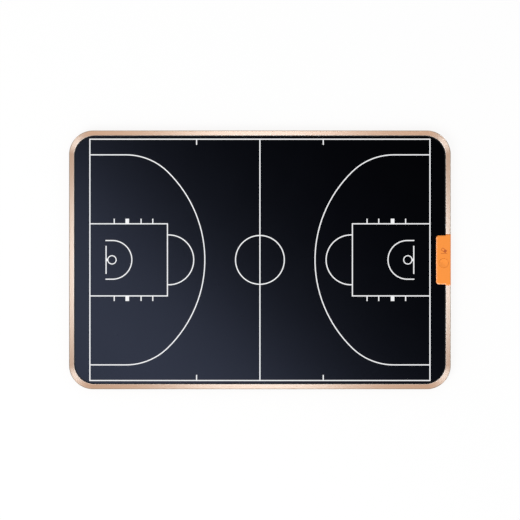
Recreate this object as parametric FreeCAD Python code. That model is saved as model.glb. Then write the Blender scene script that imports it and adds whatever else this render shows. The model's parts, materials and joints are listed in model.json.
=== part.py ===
import FreeCAD, Part
import math
import os
from FreeCAD import Vector

# A basketball tactics board with an erasable writing film, in millimetres.
# It lies on its back on four feet. X runs along the board, Y across it, and Z out of the writing face.
# The origin is on the surface that it lies on, under the middle of the board.
# The control module fills a gap in the frame at the +X end.

# Frame, a channel bent into one loop
board_length = 450.0
board_width = 305.0
corner_radius = 28.3
frame_wall = 1.2
lip_thickness = 1.2
lip_width = 5.9
lip_corner_radius = 24.2
frame_edge_radius = 1.1
lip_chamfer = 0.8

# Layers that the frame holds, from the back to the front
rear_cover_thickness = 1.5
core_thickness = 3.0
steel_thickness = 0.5
tape_thickness = 0.3
film_thickness = 0.5
gasket_thickness = 0.8
gasket_show = 0.9
layer_clearance = 0.4

# Feet under the rear cover
foot_diameter = 12.0
foot_inset = 36.0
foot_drop = 1.5
foot_recess = 0.4
foot_clearance = 0.15
foot_edge_radius = 0.8

# Court printed on the film, with distances from the middle of the baseline or of a line
line_width = 1.3
print_thickness = 0.2
baseline_margin = 18.5
sideline_margin = 4.25
centre_circle_radius = 28.8
key_depth = 91.5
key_width = 85.1
free_throw_radius = 29.4
free_throw_stub = 1.6
no_charge_centre = 26.7
no_charge_radius = 22.8
no_charge_start = 18.4
hoop_centre = 26.1
hoop_radius = 4.9
hoop_line_width = 1.15
hoop_neck_width = 3.0
backboard_distance = 19.1
backboard_length = 31.8
mark_length = 6.0
mark_distances = (28.7, 60.4, 74.2)
block_distance = 44.1
block_width = 4.3
throw_in_distance = 125.9
three_point_margin = 18.45
three_point_reach = 135.6
three_point_spread = 21.2
three_point_bend = 70.0

# Control module
module_reach = 17.1
module_length = 57.6
module_end_length = 60.2
module_rise = 0.8
module_clearance = 0.3
frame_end_clearance = 0.15
cover_wall = 1.0
cover_top_thickness = 1.4
cover_overlap = 0.6
cover_corner_radius = 3.2
cover_junction_radius = 1.2
cover_edge_radius = 1.4
cover_rear_radius = 0.6
tongue_length = 15.0
tongue_width = 3.4
tongue_wall_clearance = 0.3
tongue_lip_clearance = 0.1
base_thickness = 1.2
base_clearance = 0.15

# Erase button and the switch below it
button_diameter = 11.0
button_offset = 3.8
button_clearance = 0.2
button_edge_radius = 0.2
button_hole_chamfer = 0.1
button_flange_width = 0.8
button_flange_thickness = 0.6
button_flange_clearance = 0.1
button_pip_diameter = 3.4
button_pip_length = 0.3
button_travel = 0.3
dish_diameter = 9.6
dish_depth = 0.5
switch_size = 5.2
switch_height = 1.5
switch_floor = 0.25
plunger_diameter = 2.6
plunger_clearance = 0.1
plunger_show = 0.1
press_clearance = 0.05

# Circuit board and what is soldered to it
circuit_thickness = 0.8
circuit_clearance = 0.4
circuit_boss_diameter = 3.6
circuit_screw_from_end = 2.0
chip_length = 5.0
chip_width = 4.0
chip_height = 1.5
chip_from_end = 9.6
coil_size = 4.0
coil_height = 1.8
coil_from_end = 6.0
coil_edge_gap = 1.2
capacitor_length = 3.2
capacitor_width = 1.6
capacitor_height = 1.2
capacitor_pitch = 2.4
capacitor_count = 3
capacitor_from_end = 5.0
capacitor_edge_gap = 0.6
connector_depth = 3.4
connector_length = 10.4
connector_height = 1.8
connector_from_end = 11.6
connector_edge_gap = 0.2
tail_width = 8.0
tail_thickness = 0.2
tail_grip = 2.0
tail_clearance = 0.1
tail_slot_side = 0.4

# Lock slider and the switch that it works
lock_from_end = 9.6
lock_travel = 2.0
lock_clearance = 0.2
lock_grip_length = 5.0
lock_grip_height = 2.0
lock_grip_sink = 0.2
lock_groove_pitch = 0.9
lock_groove_width = 0.35
lock_groove_depth = 0.3
lock_groove_count = 4
lock_flange_thickness = 0.8
lock_flange_overlap = 0.9
lock_flange_clearance = 0.1
lock_switch_length = 7.0
lock_switch_depth = 3.6
lock_switch_height = 1.4
lever_width = 1.2
lever_height = 0.8
lever_root = 1.4
lever_entry = 0.4
lever_clearance = 0.1

# Coin cell, its tray and its contacts
cell_diameter = 12.5
cell_thickness = 2.0
cell_base_diameter = 10.0
cell_step = 0.3
cell_edge_radius = 0.2
cell_clearance = 0.1
tray_side = 1.0
tray_end_clearance = 0.4
tray_floor = 0.5
tray_rim_sink = 0.2
tray_front_rise = 0.1
tray_clearance = 0.15
tray_from_end = 2.65
tray_window = 4.4
tray_nail_notch_length = 6.0
tray_nail_notch_height = 0.7
tray_nail_notch_depth = 0.5
rail_width = 1.0
rail_spread = 5.5
rail_clearance = 0.05
tray_lift = 0.3
guide_thickness = 0.8
guide_height = 2.2
contact_thickness = 0.2
contact_width = 3.0
contact_clearance = 0.05
contact_tab = 1.8
leaf_tab = 3.0
leaf_reach = 4.0
leaf_from_cell_edge = 1.5
tip_height = 0.8
tip_drop = 1.2

# Screws
screw_diameter = 2.0
screw_clearance = 0.05
screw_hole_clearance = 0.1
screw_recess_width = 0.5
screw_recess_depth = 0.5
base_screw_head_diameter = 3.6
base_screw_head_height = 1.2
base_screw_length = 5.0
base_screw_sink = 0.3
base_boss_diameter = 5.0
base_boss_height = 1.6
base_boss_clearance = 0.2
cover_boss_diameter = 4.4
circuit_screw_head_diameter = 3.0
circuit_screw_head_height = 0.5
circuit_screw_length = 3.0
circuit_screw_diameter = 1.6
frame_screw_head_diameter = 3.6
frame_screw_head_height = 0.8
frame_screw_length = 5.0
frame_screw_sink = 0.1
frame_screw_from_end = 7.7
pilot_depth_spare = 0.4

# Heights
z_frame = foot_drop
z_rear = z_frame + lip_thickness
z_core = z_rear + rear_cover_thickness
z_steel = z_core + core_thickness
z_tape = z_steel + steel_thickness
z_film = z_tape + tape_thickness
z_face = z_film + film_thickness
z_lip = z_face + gasket_thickness
z_top = z_lip + lip_thickness
z_cover = z_top + module_rise
z_ceiling = z_cover - cover_top_thickness
z_base = z_frame + base_thickness
z_flange_top = z_ceiling - button_flange_clearance
z_flange = z_flange_top - button_flange_thickness
z_pip = z_flange - button_pip_length
z_plunger_top = z_pip - press_clearance
z_switch_top = z_plunger_top - button_travel - plunger_show
z_circuit_top = z_switch_top - switch_height
z_circuit = z_circuit_top - circuit_thickness
z_tray = z_base + tray_lift
z_cell = z_tray + tray_floor
z_cell_top = z_cell + cell_thickness
z_tray_rim = z_cell_top - tray_rim_sink
z_tray_front = z_cell_top + tray_front_rise
z_tail = z_film + (film_thickness - tail_thickness) / 2
z_lever = z_circuit_top + lock_switch_height / 2

# Places along X and Y
x_outer = board_length / 2
x_lip = x_outer - lip_width
x_rim = x_outer - module_reach
x_module = x_outer - module_reach / 2
x_body = x_rim + cover_overlap
x_notch = x_body - module_clearance
x_cavity = x_body + cover_wall
x_cavity_end = x_outer - cover_wall
x_tongue_end = x_outer - frame_wall - tongue_wall_clearance
x_tongue = x_tongue_end - tongue_width
x_tongue_notch = x_tongue - module_clearance
x_tongue_middle = (x_tongue + x_tongue_end) / 2
x_flange_end = x_cavity_end - lock_flange_clearance
x_flange = x_flange_end - lock_flange_thickness
x_circuit = x_cavity + circuit_clearance
x_circuit_end = x_flange - circuit_clearance
x_circuit_screw = (x_cavity + x_module) / 2 + circuit_boss_diameter / 2
x_base_screw = (x_cavity + x_cavity_end) / 2
x_tray = x_cavity + tray_end_clearance
x_cell = x_tray + tray_side + cell_clearance + cell_diameter / 2
y_rim = module_length / 2
y_end = module_end_length / 2
y_body = y_rim - cover_overlap
y_cavity = y_body - cover_wall
y_tongue_end = y_end + tongue_length
y_base_screw = y_cavity - base_boss_clearance - base_boss_diameter / 2
y_circuit = y_base_screw - base_boss_diameter / 2 - base_boss_clearance
y_circuit_screw = y_circuit - circuit_screw_from_end
y_button = -button_offset
y_lock = y_circuit - lock_from_end
y_connector = y_circuit - connector_from_end
tray_width = cell_diameter + 2 * (cell_clearance + tray_side)
y_tray = tray_from_end + tray_width / 2 - y_circuit
lock_slot_length = lock_grip_length + lock_travel + 2 * lock_clearance
lock_slot_height = lock_grip_height + 2 * lock_clearance
half_court = x_outer - lip_width - baseline_margin
half_court_width = board_width / 2 - lip_width - sideline_margin

# Corner radii of the module's skirt, the notch around it, the cavity in it and the base
skirt_radius = max(cover_corner_radius - cover_overlap, 0.0)
notch_radius = skirt_radius + module_clearance
cavity_radius = max(skirt_radius - cover_wall, 0.0)
base_radius = max(cavity_radius - base_clearance, 0.0)


# Shape helpers
def rectangle(x0, x1, y0, y1, radius=0.0):
    """The corners of a rectangle as (x, y, corner radius)."""
    return [(x0, y0, radius), (x1, y0, radius), (x1, y1, radius), (x0, y1, radius)]


def centred(length, width, radius):
    """The corners of a rounded rectangle about the origin."""
    return rectangle(-length / 2, length / 2, -width / 2, width / 2, radius)


def corner_points(before, corner, after, z):
    """Where a corner's arc starts, its middle and its end; all one point on a sharp corner."""
    point = Vector(corner[0], corner[1], z)
    if corner[2] == 0:
        return point, point, point
    back = (Vector(before[0], before[1], z) - point).normalize()
    ahead = (Vector(after[0], after[1], z) - point).normalize()
    half_angle = back.getAngle(ahead) / 2
    reach = corner[2] / math.tan(half_angle)
    inward = (back + ahead).normalize()
    middle = point + inward * (corner[2] / math.sin(half_angle) - corner[2])
    return point + back * reach, middle, point + ahead * reach


def outline(corners, z):
    """A closed wire at height z through corners given as (x, y, corner radius)."""
    count = len(corners)
    points = []
    for i in range(count):
        points.append(corner_points(corners[i - 1], corners[i], corners[(i + 1) % count], z))
    edges = []
    for i in range(count):
        start, middle, end = points[i]
        following = points[(i + 1) % count][0]
        if corners[i][2] > 0:
            edges.append(Part.Arc(start, middle, end).toShape())
        if (following - end).Length > 1e-6:
            edges.append(Part.makeLine(end, following))
    return Part.Wire(edges)


def plate(corners, z0, z1):
    """An outline raised from z0 to z1."""
    return Part.Face(outline(corners, z0)).extrude(Vector(0, 0, z1 - z0))


def box(x0, x1, y0, y1, z0, z1):
    """A plain block."""
    return Part.makeBox(x1 - x0, y1 - y0, z1 - z0, Vector(x0, y0, z0))


def module_block(x0, x1, half_width, radius, z0, z1):
    """A block about the module's middle, with its two corners towards the board rounded."""
    corners = [
        (x0, -half_width, radius),
        (x1, -half_width, 0.0),
        (x1, half_width, 0.0),
        (x0, half_width, radius),
    ]
    return plate(corners, z0, z1)


def round_bar(x, y, z0, z1, diameter):
    """An upright cylinder."""
    return Part.makeCylinder(diameter / 2, z1 - z0, Vector(x, y, z0))


def stadium(x0, x1, y, z, length, height):
    """A bar along X whose section is a slot with round ends, length along Y."""
    straight = length - height
    bar = box(x0, x1, y - straight / 2, y + straight / 2, z - height / 2, z + height / 2)
    for end in (-1, 1):
        centre = Vector(x0, y + end * straight / 2, z)
        bar = bar.fuse(Part.makeCylinder(height / 2, x1 - x0, centre, Vector(1, 0, 0)))
    return bar.removeSplitter()


def side_profile(points, y0, y1):
    """A flat profile of (x, z) points, drawn across from y0 to y1."""
    corners = [Vector(x, y0, z) for x, z in points]
    corners.append(corners[0])
    return Part.Face(Part.makePolygon(corners)).extrude(Vector(0, y1 - y0, 0))


def joined(shapes):
    """One shape from several, with the seams between flush faces taken out."""
    return shapes[0].multiFuse(shapes[1:]).removeSplitter()


def edges_at(shape, z):
    """The edges that lie flat at height z."""
    found = []
    for edge in shape.Edges:
        span = edge.BoundBox
        if abs(span.ZMin - z) < 1e-6 and abs(span.ZMax - z) < 1e-6:
            found.append(edge)
    return found


# Frame and the layers in it
def frame_channel():
    """The bent channel, with a gap for the module and a countersunk hole at each end."""
    body = plate(centred(board_length, board_width, corner_radius), z_frame, z_top)
    body = body.makeFillet(frame_edge_radius, edges_at(body, z_top) + edges_at(body, z_frame))
    inner_length = board_length - 2 * frame_wall
    inner_width = board_width - 2 * frame_wall
    inner = centred(inner_length, inner_width, corner_radius - frame_wall)
    body = body.cut(plate(inner, z_rear, z_lip))
    mouth_length = board_length - 2 * lip_width
    mouth_width = board_width - 2 * lip_width
    mouth = centred(mouth_length, mouth_width, lip_corner_radius)
    body = body.cut(plate(mouth, z_frame - lip_thickness, z_top + lip_thickness))
    rim = []
    for edge in edges_at(body, z_top):
        span = edge.BoundBox
        inside_length = max(abs(span.XMin), abs(span.XMax)) < mouth_length / 2 + lip_chamfer
        inside_width = max(abs(span.YMin), abs(span.YMax)) < mouth_width / 2 + lip_chamfer
        if inside_length and inside_width:
            rim.append(edge)
    body = body.makeChamfer(lip_chamfer, rim)
    half_gap = y_end + frame_end_clearance
    body = body.cut(box(x_lip - lip_width, x_outer + lip_width, -half_gap, half_gap, 0, z_cover))
    for side in (-1, 1):
        body = body.cut(frame_screw_hole(side * (y_end + frame_screw_from_end)))
    return body


def layer(z0, thickness):
    """A sheet that fills the channel, notched for the module and for its tongues."""
    margin = frame_wall + layer_clearance
    corners = centred(board_length - 2 * margin, board_width - 2 * margin, corner_radius - margin)
    sheet = plate(corners, z0, z0 + thickness)
    half_body = y_body + module_clearance
    half_tongues = y_tongue_end + module_clearance
    sheet = sheet.cut(module_block(x_notch, x_outer, half_body, notch_radius, z0, z0 + thickness))
    return sheet.cut(box(x_tongue_notch, x_outer, -half_tongues, half_tongues, z0, z0 + thickness))


def edge_gasket():
    """The soft strip between the film and the frame's front lip."""
    margin = lip_width + gasket_show
    radius = lip_corner_radius - gasket_show
    mouth = centred(board_length - 2 * margin, board_width - 2 * margin, radius)
    strip = layer(z_face, gasket_thickness).cut(plate(mouth, z_face, z_lip))
    half_gap = y_end + module_clearance
    return strip.cut(box(x_rim, x_outer, -half_gap, half_gap, z_face, z_lip))


def foot_places():
    """The four feet as (x, y)."""
    x = board_length / 2 - foot_inset
    y = board_width / 2 - foot_inset
    return [(-x, -y), (x, -y), (-x, y), (x, y)]


def rear_cover():
    """The back sheet, with a shallow seat for each foot."""
    sheet = layer(z_rear, rear_cover_thickness)
    seat_diameter = foot_diameter + 2 * foot_clearance
    for x, y in foot_places():
        sheet = sheet.cut(round_bar(x, y, z_rear, z_rear + foot_recess, seat_diameter))
    return sheet


def foot(x, y):
    """A rubber foot, rounded where it meets the surface below."""
    body = round_bar(x, y, 0, z_rear + foot_recess, foot_diameter)
    return body.makeFillet(foot_edge_radius, edges_at(body, 0))


# Court, whose lines at the -X end are mirrored to the other end
def stroke(x0, x1, y0, y1):
    """A straight line from one point to another along X or Y, with its width around it."""
    half = line_width / 2
    return box(x0 - half, x1 + half, y0 - half, y1 + half, z_face, z_face + print_thickness)


def butt_stroke(x0, x1, y):
    """A line along X that stops square at its ends."""
    half = line_width / 2
    return box(x0, x1, y - half, y + half, z_face, z_face + print_thickness)


def ring(x, radius, width=line_width):
    """A circle about a point on the court's long axis."""
    outside = round_bar(x, 0, z_face, z_face + print_thickness, 2 * radius + width)
    return outside.cut(round_bar(x, 0, z_face, z_face + print_thickness, 2 * radius - width))


def half_space(x):
    """Everything on the +X side of x, as deep as the print."""
    return box(x, board_length, -board_width, board_width, z_face, z_face + print_thickness)


def three_point_edge(baseline, offset):
    """One edge of the three-point line, at a distance outwards from its middle, as a list of curves."""
    straight_y = half_court_width - three_point_margin
    radius = straight_y + three_point_spread
    centre = baseline + three_point_reach - radius
    bend_y = straight_y - three_point_bend
    bend_x = centre + math.sqrt((radius - three_point_bend) ** 2 - bend_y ** 2)
    turn = math.atan2(bend_y, bend_x - centre)
    middle = (turn + math.pi / 2) / 2
    bend_radius = three_point_bend + offset
    arc_radius = radius + offset
    points = [
        Vector(baseline, straight_y + offset, z_face),
        Vector(bend_x, straight_y + offset, z_face),
        Vector(bend_x + bend_radius * math.cos(middle), bend_y + bend_radius * math.sin(middle), z_face),
        Vector(centre + arc_radius * math.cos(turn), arc_radius * math.sin(turn), z_face),
    ]
    below = []
    for point in points:
        below.append(Vector(point.x, -point.y, z_face))
    front = Vector(centre + arc_radius, 0, z_face)
    return [
        Part.makeLine(points[0], points[1]),
        Part.Arc(points[1], points[2], points[3]).toShape(),
        Part.Arc(points[3], front, below[3]).toShape(),
        Part.Arc(below[3], below[2], below[1]).toShape(),
        Part.makeLine(below[1], below[0]),
    ]


def three_point_line(baseline):
    """Two straights from the baseline that bend into one arc."""
    half = line_width / 2
    straight_y = half_court_width - three_point_margin
    edges = three_point_edge(baseline, half) + three_point_edge(baseline, -half)
    for y in (straight_y, -straight_y):
        edges.append(Part.makeLine(Vector(baseline, y - half, z_face), Vector(baseline, y + half, z_face)))
    face = Part.Face(Part.Wire(Part.__sortEdges__(edges)))
    return face.extrude(Vector(0, 0, print_thickness))


def key_marks(baseline):
    """The short marks outside the two long sides of the key."""
    pieces = []
    for side in (-1, 1):
        near = key_width / 2
        far = key_width / 2 + mark_length
        y0 = min(side * near, side * far)
        y1 = max(side * near, side * far)
        for distance in mark_distances:
            x = baseline + distance
            half = line_width / 2
            pieces.append(box(x - half, x + half, y0, y1, z_face, z_face + print_thickness))
        x = baseline + block_distance
        half = block_width / 2
        pieces.append(box(x - half, x + half, y0, y1, z_face, z_face + print_thickness))
    return pieces


def key_lines(baseline):
    """The key with its marks and arc, and the hoop, backboard and arc in front of them."""
    free_throw = baseline + key_depth
    pieces = key_marks(baseline)
    pieces.append(stroke(free_throw, free_throw, -key_width / 2, key_width / 2))
    for side in (-1, 1):
        pieces.append(stroke(baseline, free_throw, side * key_width / 2, side * key_width / 2))
        pieces.append(butt_stroke(free_throw, free_throw + free_throw_stub, side * free_throw_radius))
        no_charge_x = baseline + no_charge_start
        pieces.append(butt_stroke(no_charge_x, baseline + no_charge_centre, side * no_charge_radius))
    arc_x = free_throw + free_throw_stub
    pieces.append(ring(arc_x, free_throw_radius).common(half_space(arc_x)))
    no_charge_x = baseline + no_charge_centre
    pieces.append(ring(no_charge_x, no_charge_radius).common(half_space(no_charge_x)))
    backboard_x = baseline + backboard_distance
    pieces.append(stroke(backboard_x, backboard_x, -backboard_length / 2, backboard_length / 2))
    hoop_x = baseline + hoop_centre
    pieces.append(ring(hoop_x, hoop_radius, hoop_line_width))
    half_neck = hoop_neck_width / 2
    pieces.append(box(backboard_x, hoop_x - hoop_radius, -half_neck, half_neck,
                      z_face, z_face + print_thickness))
    return pieces


def border_lines():
    """The outer lines, the centre line and the four throw-in ticks."""
    pieces = [stroke(0, 0, -half_court_width, half_court_width)]
    for side in (-1, 1):
        pieces.append(stroke(side * half_court, side * half_court, -half_court_width, half_court_width))
        pieces.append(stroke(-half_court, half_court, side * half_court_width, side * half_court_width))
        tick_x = side * (half_court - throw_in_distance)
        tick_y = half_court_width - mark_length
        pieces.append(stroke(tick_x, tick_x, -half_court_width, -tick_y))
        pieces.append(stroke(tick_x, tick_x, tick_y, half_court_width))
    return joined(pieces)


def court_print():
    """The white ink on the film: the court's outline, and the key at each end, which meets it edge to edge."""
    border = border_lines()
    arc = three_point_line(-half_court)
    key = joined(key_lines(-half_court)).cut(border)
    across = (Vector(0, 0, 0), Vector(1, 0, 0))
    return {
        "court_outline": joined([border, ring(0, centre_circle_radius), arc, arc.mirror(*across)]),
        "court_key_left": key,
        "court_key_right": key.mirror(*across),
    }


# Screws, all driven in from behind
def cross_recess(x, y, z):
    """The cross that a screwdriver turns, cut upwards into a head whose rear face is at z."""
    reach = 3 * screw_recess_width / 2
    half = screw_recess_width / 2
    along = box(x - reach, x + reach, y - half, y + half, z, z + screw_recess_depth)
    across = box(x - half, x + half, y - reach, y + reach, z, z + screw_recess_depth)
    return along.fuse(across)


def pan_screw(x, y, z_seat, head_diameter, head_height, diameter, length):
    """A screw whose flat head bears upwards at z_seat."""
    head = round_bar(x, y, z_seat - head_height, z_seat, head_diameter)
    screw = head.fuse(round_bar(x, y, z_seat, z_seat + length, diameter))
    return screw.cut(cross_recess(x, y, z_seat - head_height)).removeSplitter()


def frame_screw_hole(y):
    """The countersunk hole through the frame's rear lip."""
    wide = frame_screw_head_diameter / 2 + screw_hole_clearance
    narrow = screw_diameter / 2 + screw_hole_clearance
    depth = frame_screw_head_height + frame_screw_sink
    cone = Part.makeCone(wide, narrow, depth, Vector(x_tongue_middle, y, z_frame))
    return cone.fuse(round_bar(x_tongue_middle, y, z_frame, z_rear, 2 * narrow))


def frame_screw(y):
    """A countersunk screw from the frame's rear lip into the module's tongue."""
    z_head = z_frame + frame_screw_sink
    z_neck = z_head + frame_screw_head_height
    place = Vector(x_tongue_middle, y, z_head)
    head = Part.makeCone(frame_screw_head_diameter / 2, screw_diameter / 2, frame_screw_head_height, place)
    shank = round_bar(x_tongue_middle, y, z_neck, z_neck + frame_screw_length, screw_diameter)
    return head.fuse(shank).cut(cross_recess(x_tongue_middle, y, z_head)).removeSplitter()


def frame_screws():
    """One screw at each end of the frame."""
    place = y_end + frame_screw_from_end
    return Part.makeCompound([frame_screw(-place), frame_screw(place)])


def base_screws():
    """The two screws that hold the module's base in its cover."""
    z_seat = z_frame + base_screw_sink + base_screw_head_height
    screws = []
    for side in (-1, 1):
        screws.append(pan_screw(x_base_screw, side * y_base_screw, z_seat, base_screw_head_diameter,
                                base_screw_head_height, screw_diameter, base_screw_length))
    return Part.makeCompound(screws)


def circuit_screws():
    """The two screws that hold the circuit board under the cover's bosses."""
    screws = []
    for side in (-1, 1):
        screws.append(pan_screw(x_circuit_screw, side * y_circuit_screw, z_circuit,
                                circuit_screw_head_diameter, circuit_screw_head_height,
                                circuit_screw_diameter, circuit_screw_length))
    return Part.makeCompound(screws)


# Control module shells
def cover_top():
    """The visible block of the cover, which rests on the film and fills the gap in the frame."""
    corners = [
        (x_rim, -y_rim, cover_corner_radius),
        (x_lip, -y_rim, cover_junction_radius),
        (x_lip, -y_end, 0.0),
        (x_outer, -y_end, 0.0),
        (x_outer, y_end, 0.0),
        (x_lip, y_end, 0.0),
        (x_lip, y_rim, cover_junction_radius),
        (x_rim, y_rim, cover_corner_radius),
    ]
    block = plate(corners, z_face, z_cover)
    return block.makeFillet(cover_edge_radius, edges_at(block, z_cover))


def cover_skirt():
    """The walls below the film, with a plug into each end of the frame's channel."""
    pieces = [module_block(x_body, x_outer, y_body, skirt_radius, z_frame, z_face)]
    pieces.append(box(x_tongue, x_outer, -y_end, y_end, z_frame, z_face))
    pieces.append(box(x_tongue, x_tongue_end, -y_tongue_end, y_tongue_end,
                      z_rear + tongue_lip_clearance, z_lip - tongue_lip_clearance))
    return joined(pieces)


def module_cover():
    """The orange front shell, with its bosses and every opening in it."""
    shell = joined([cover_top(), cover_skirt()])
    rear_edge = []
    for edge in edges_at(shell, z_frame):
        if abs(edge.BoundBox.XMin - x_outer) < 1e-6:
            rear_edge.append(edge)
    shell = shell.makeFillet(cover_rear_radius, rear_edge)
    shell = shell.cut(module_block(x_cavity, x_cavity_end, y_cavity, cavity_radius, z_frame, z_ceiling))
    boss_foot = z_base + base_boss_height
    pilot = screw_diameter + 2 * screw_clearance
    circuit_pilot = circuit_screw_diameter + 2 * screw_clearance
    z_base_pilot = z_frame + base_screw_sink + base_screw_head_height + base_screw_length
    z_circuit_pilot = z_circuit + circuit_screw_length
    z_frame_pilot = z_frame + frame_screw_sink + frame_screw_head_height + frame_screw_length
    for side in (-1, 1):
        y = side * y_base_screw
        boss = round_bar(x_base_screw, y, boss_foot, z_ceiling, cover_boss_diameter)
        shell = shell.fuse(boss)
        hole = round_bar(x_base_screw, y, boss_foot, z_base_pilot + pilot_depth_spare, pilot)
        shell = shell.cut(hole)
        y = side * y_circuit_screw
        boss = round_bar(x_circuit_screw, y, z_circuit_top, z_ceiling, circuit_boss_diameter)
        shell = shell.fuse(boss)
        hole = round_bar(x_circuit_screw, y, z_circuit_top, z_circuit_pilot + pilot_depth_spare,
                         circuit_pilot)
        shell = shell.cut(hole)
        y = side * (y_end + frame_screw_from_end)
        hole = round_bar(x_tongue_middle, y, z_rear, z_frame_pilot + pilot_depth_spare, pilot)
        shell = shell.cut(hole)
    hole_radius = button_diameter / 2 + button_clearance
    shell = shell.cut(round_bar(x_module, y_button, z_ceiling, z_cover, 2 * hole_radius))
    chamfer_place = Vector(x_module, y_button, z_cover - button_hole_chamfer)
    shell = shell.cut(Part.makeCone(hole_radius, hole_radius + button_hole_chamfer, button_hole_chamfer,
                                    chamfer_place))
    slot = stadium(x_cavity_end, x_outer, y_lock, z_lever, lock_slot_length, lock_slot_height)
    shell = shell.cut(slot)
    half_tray = tray_width / 2 + tray_clearance
    shell = shell.cut(box(x_cavity_end, x_outer, y_tray - half_tray, y_tray + half_tray,
                          z_tray - tray_clearance, z_tray_front + tray_clearance))
    half_tail = tail_width / 2 + tail_slot_side
    shell = shell.cut(box(x_body, x_cavity, y_connector - half_tail, y_connector + half_tail,
                          z_film, z_face + tail_clearance))
    return shell.removeSplitter()


def module_base():
    """The rear plate of the module, with screw bosses and the runners of the cell tray."""
    half_width = y_cavity - base_clearance
    x0 = x_cavity + base_clearance
    x1 = x_cavity_end - base_clearance
    pieces = [module_block(x0, x1, half_width, base_radius, z_frame, z_base)]
    for side in (-1, 1):
        pieces.append(round_bar(x_base_screw, side * y_base_screw, z_frame, z_base + base_boss_height,
                                base_boss_diameter))
        guide = side * (tray_width / 2 + tray_clearance + guide_thickness / 2)
        pieces.append(box(x0, x1, y_tray + guide - guide_thickness / 2,
                          y_tray + guide + guide_thickness / 2, z_frame, z_base + guide_height))
        rail = y_tray + side * rail_spread
        pieces.append(box(x0, x1, rail - rail_width / 2, rail + rail_width / 2, z_frame,
                          z_tray - rail_clearance))
    plate_shape = joined(pieces)
    z_seat = z_frame + base_screw_sink + base_screw_head_height
    well = base_screw_head_diameter + 4 * screw_hole_clearance
    bore = screw_diameter + 2 * screw_hole_clearance
    for side in (-1, 1):
        y = side * y_base_screw
        plate_shape = plate_shape.cut(round_bar(x_base_screw, y, z_frame, z_seat, well))
        plate_shape = plate_shape.cut(round_bar(x_base_screw, y, z_seat, z_base + base_boss_height, bore))
    return plate_shape


# Erase button and its switch
def erase_button():
    """A round cap with a dished face, held in by a flange under the cover."""
    cap = round_bar(x_module, y_button, z_flange, z_cover, button_diameter)
    cap = cap.makeFillet(button_edge_radius, edges_at(cap, z_cover))
    flange = round_bar(x_module, y_button, z_flange, z_flange_top,
                       button_diameter + 2 * button_flange_width)
    pip = round_bar(x_module, y_button, z_pip, z_flange, button_pip_diameter)
    dish_radius = (dish_diameter ** 2 / 4 + dish_depth ** 2) / (2 * dish_depth)
    dish = Part.makeSphere(dish_radius, Vector(x_module, y_button, z_cover - dish_depth + dish_radius))
    return joined([cap, flange, pip]).cut(dish)


def switch_body():
    """The switch's square body, with a well for its plunger."""
    half = switch_size / 2
    body = box(x_module - half, x_module + half, y_button - half, y_button + half,
               z_circuit_top, z_switch_top)
    well = plunger_diameter + 2 * plunger_clearance
    return body.cut(round_bar(x_module, y_button, z_circuit_top + switch_floor, z_switch_top, well))


def switch_plunger():
    """The stem that the button presses, with room below it for its travel."""
    z0 = z_circuit_top + switch_floor + button_travel + plunger_show
    return round_bar(x_module, y_button, z0, z_plunger_top, plunger_diameter)


# Circuit board and its parts
def circuit_board():
    """The board, with a hole for each of its screws."""
    body = box(x_circuit, x_circuit_end, -y_circuit, y_circuit, z_circuit, z_circuit_top)
    bore = circuit_screw_diameter + 2 * screw_hole_clearance
    for side in (-1, 1):
        body = body.cut(round_bar(x_circuit_screw, side * y_circuit_screw, z_circuit, z_circuit_top, bore))
    return body


def control_chip():
    """The driver chip between the film connector and the lock switch."""
    x = x_module
    y = y_circuit - chip_from_end
    return box(x - chip_width / 2, x + chip_width / 2, y - chip_length / 2, y + chip_length / 2,
               z_circuit_top, z_circuit_top + chip_height)


def boost_coil():
    """The coil of the circuit that raises the cell's voltage."""
    x1 = x_circuit_end - coil_edge_gap
    y0 = -y_circuit + coil_from_end - coil_size / 2
    return box(x1 - coil_size, x1, y0, y0 + coil_size, z_circuit_top, z_circuit_top + coil_height)


def capacitors():
    """A row of small capacitors along the board's inner edge."""
    x0 = x_circuit + capacitor_edge_gap
    row = []
    for i in range(capacitor_count):
        y0 = -y_circuit + capacitor_from_end + i * capacitor_pitch
        row.append(box(x0, x0 + capacitor_length, y0, y0 + capacitor_width,
                       z_circuit_top, z_circuit_top + capacitor_height))
    return Part.makeCompound(row)


def film_connector():
    """The socket that the film's tail is pushed into."""
    x0 = x_circuit + connector_edge_gap
    half = connector_length / 2
    body = box(x0, x0 + connector_depth, y_connector - half, y_connector + half,
               z_circuit_top, z_circuit_top + connector_height)
    half_slot = tail_width / 2 + tail_clearance
    return body.cut(box(x0, x0 + tail_grip + tail_clearance, y_connector - half_slot,
                        y_connector + half_slot, z_tail - tail_clearance,
                        z_tail + tail_thickness + tail_clearance))


def film_tail():
    """The flat lead from the film's edge to its connector."""
    x1 = x_circuit + connector_edge_gap + tail_grip
    half = tail_width / 2
    return box(x_notch, x1, y_connector - half, y_connector + half, z_tail, z_tail + tail_thickness)


# Lock slider at the +Y end of its slot, and its switch
def lock_rest():
    """Where the middle of the slider is when the board is unlocked."""
    return y_lock + lock_travel / 2


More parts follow.
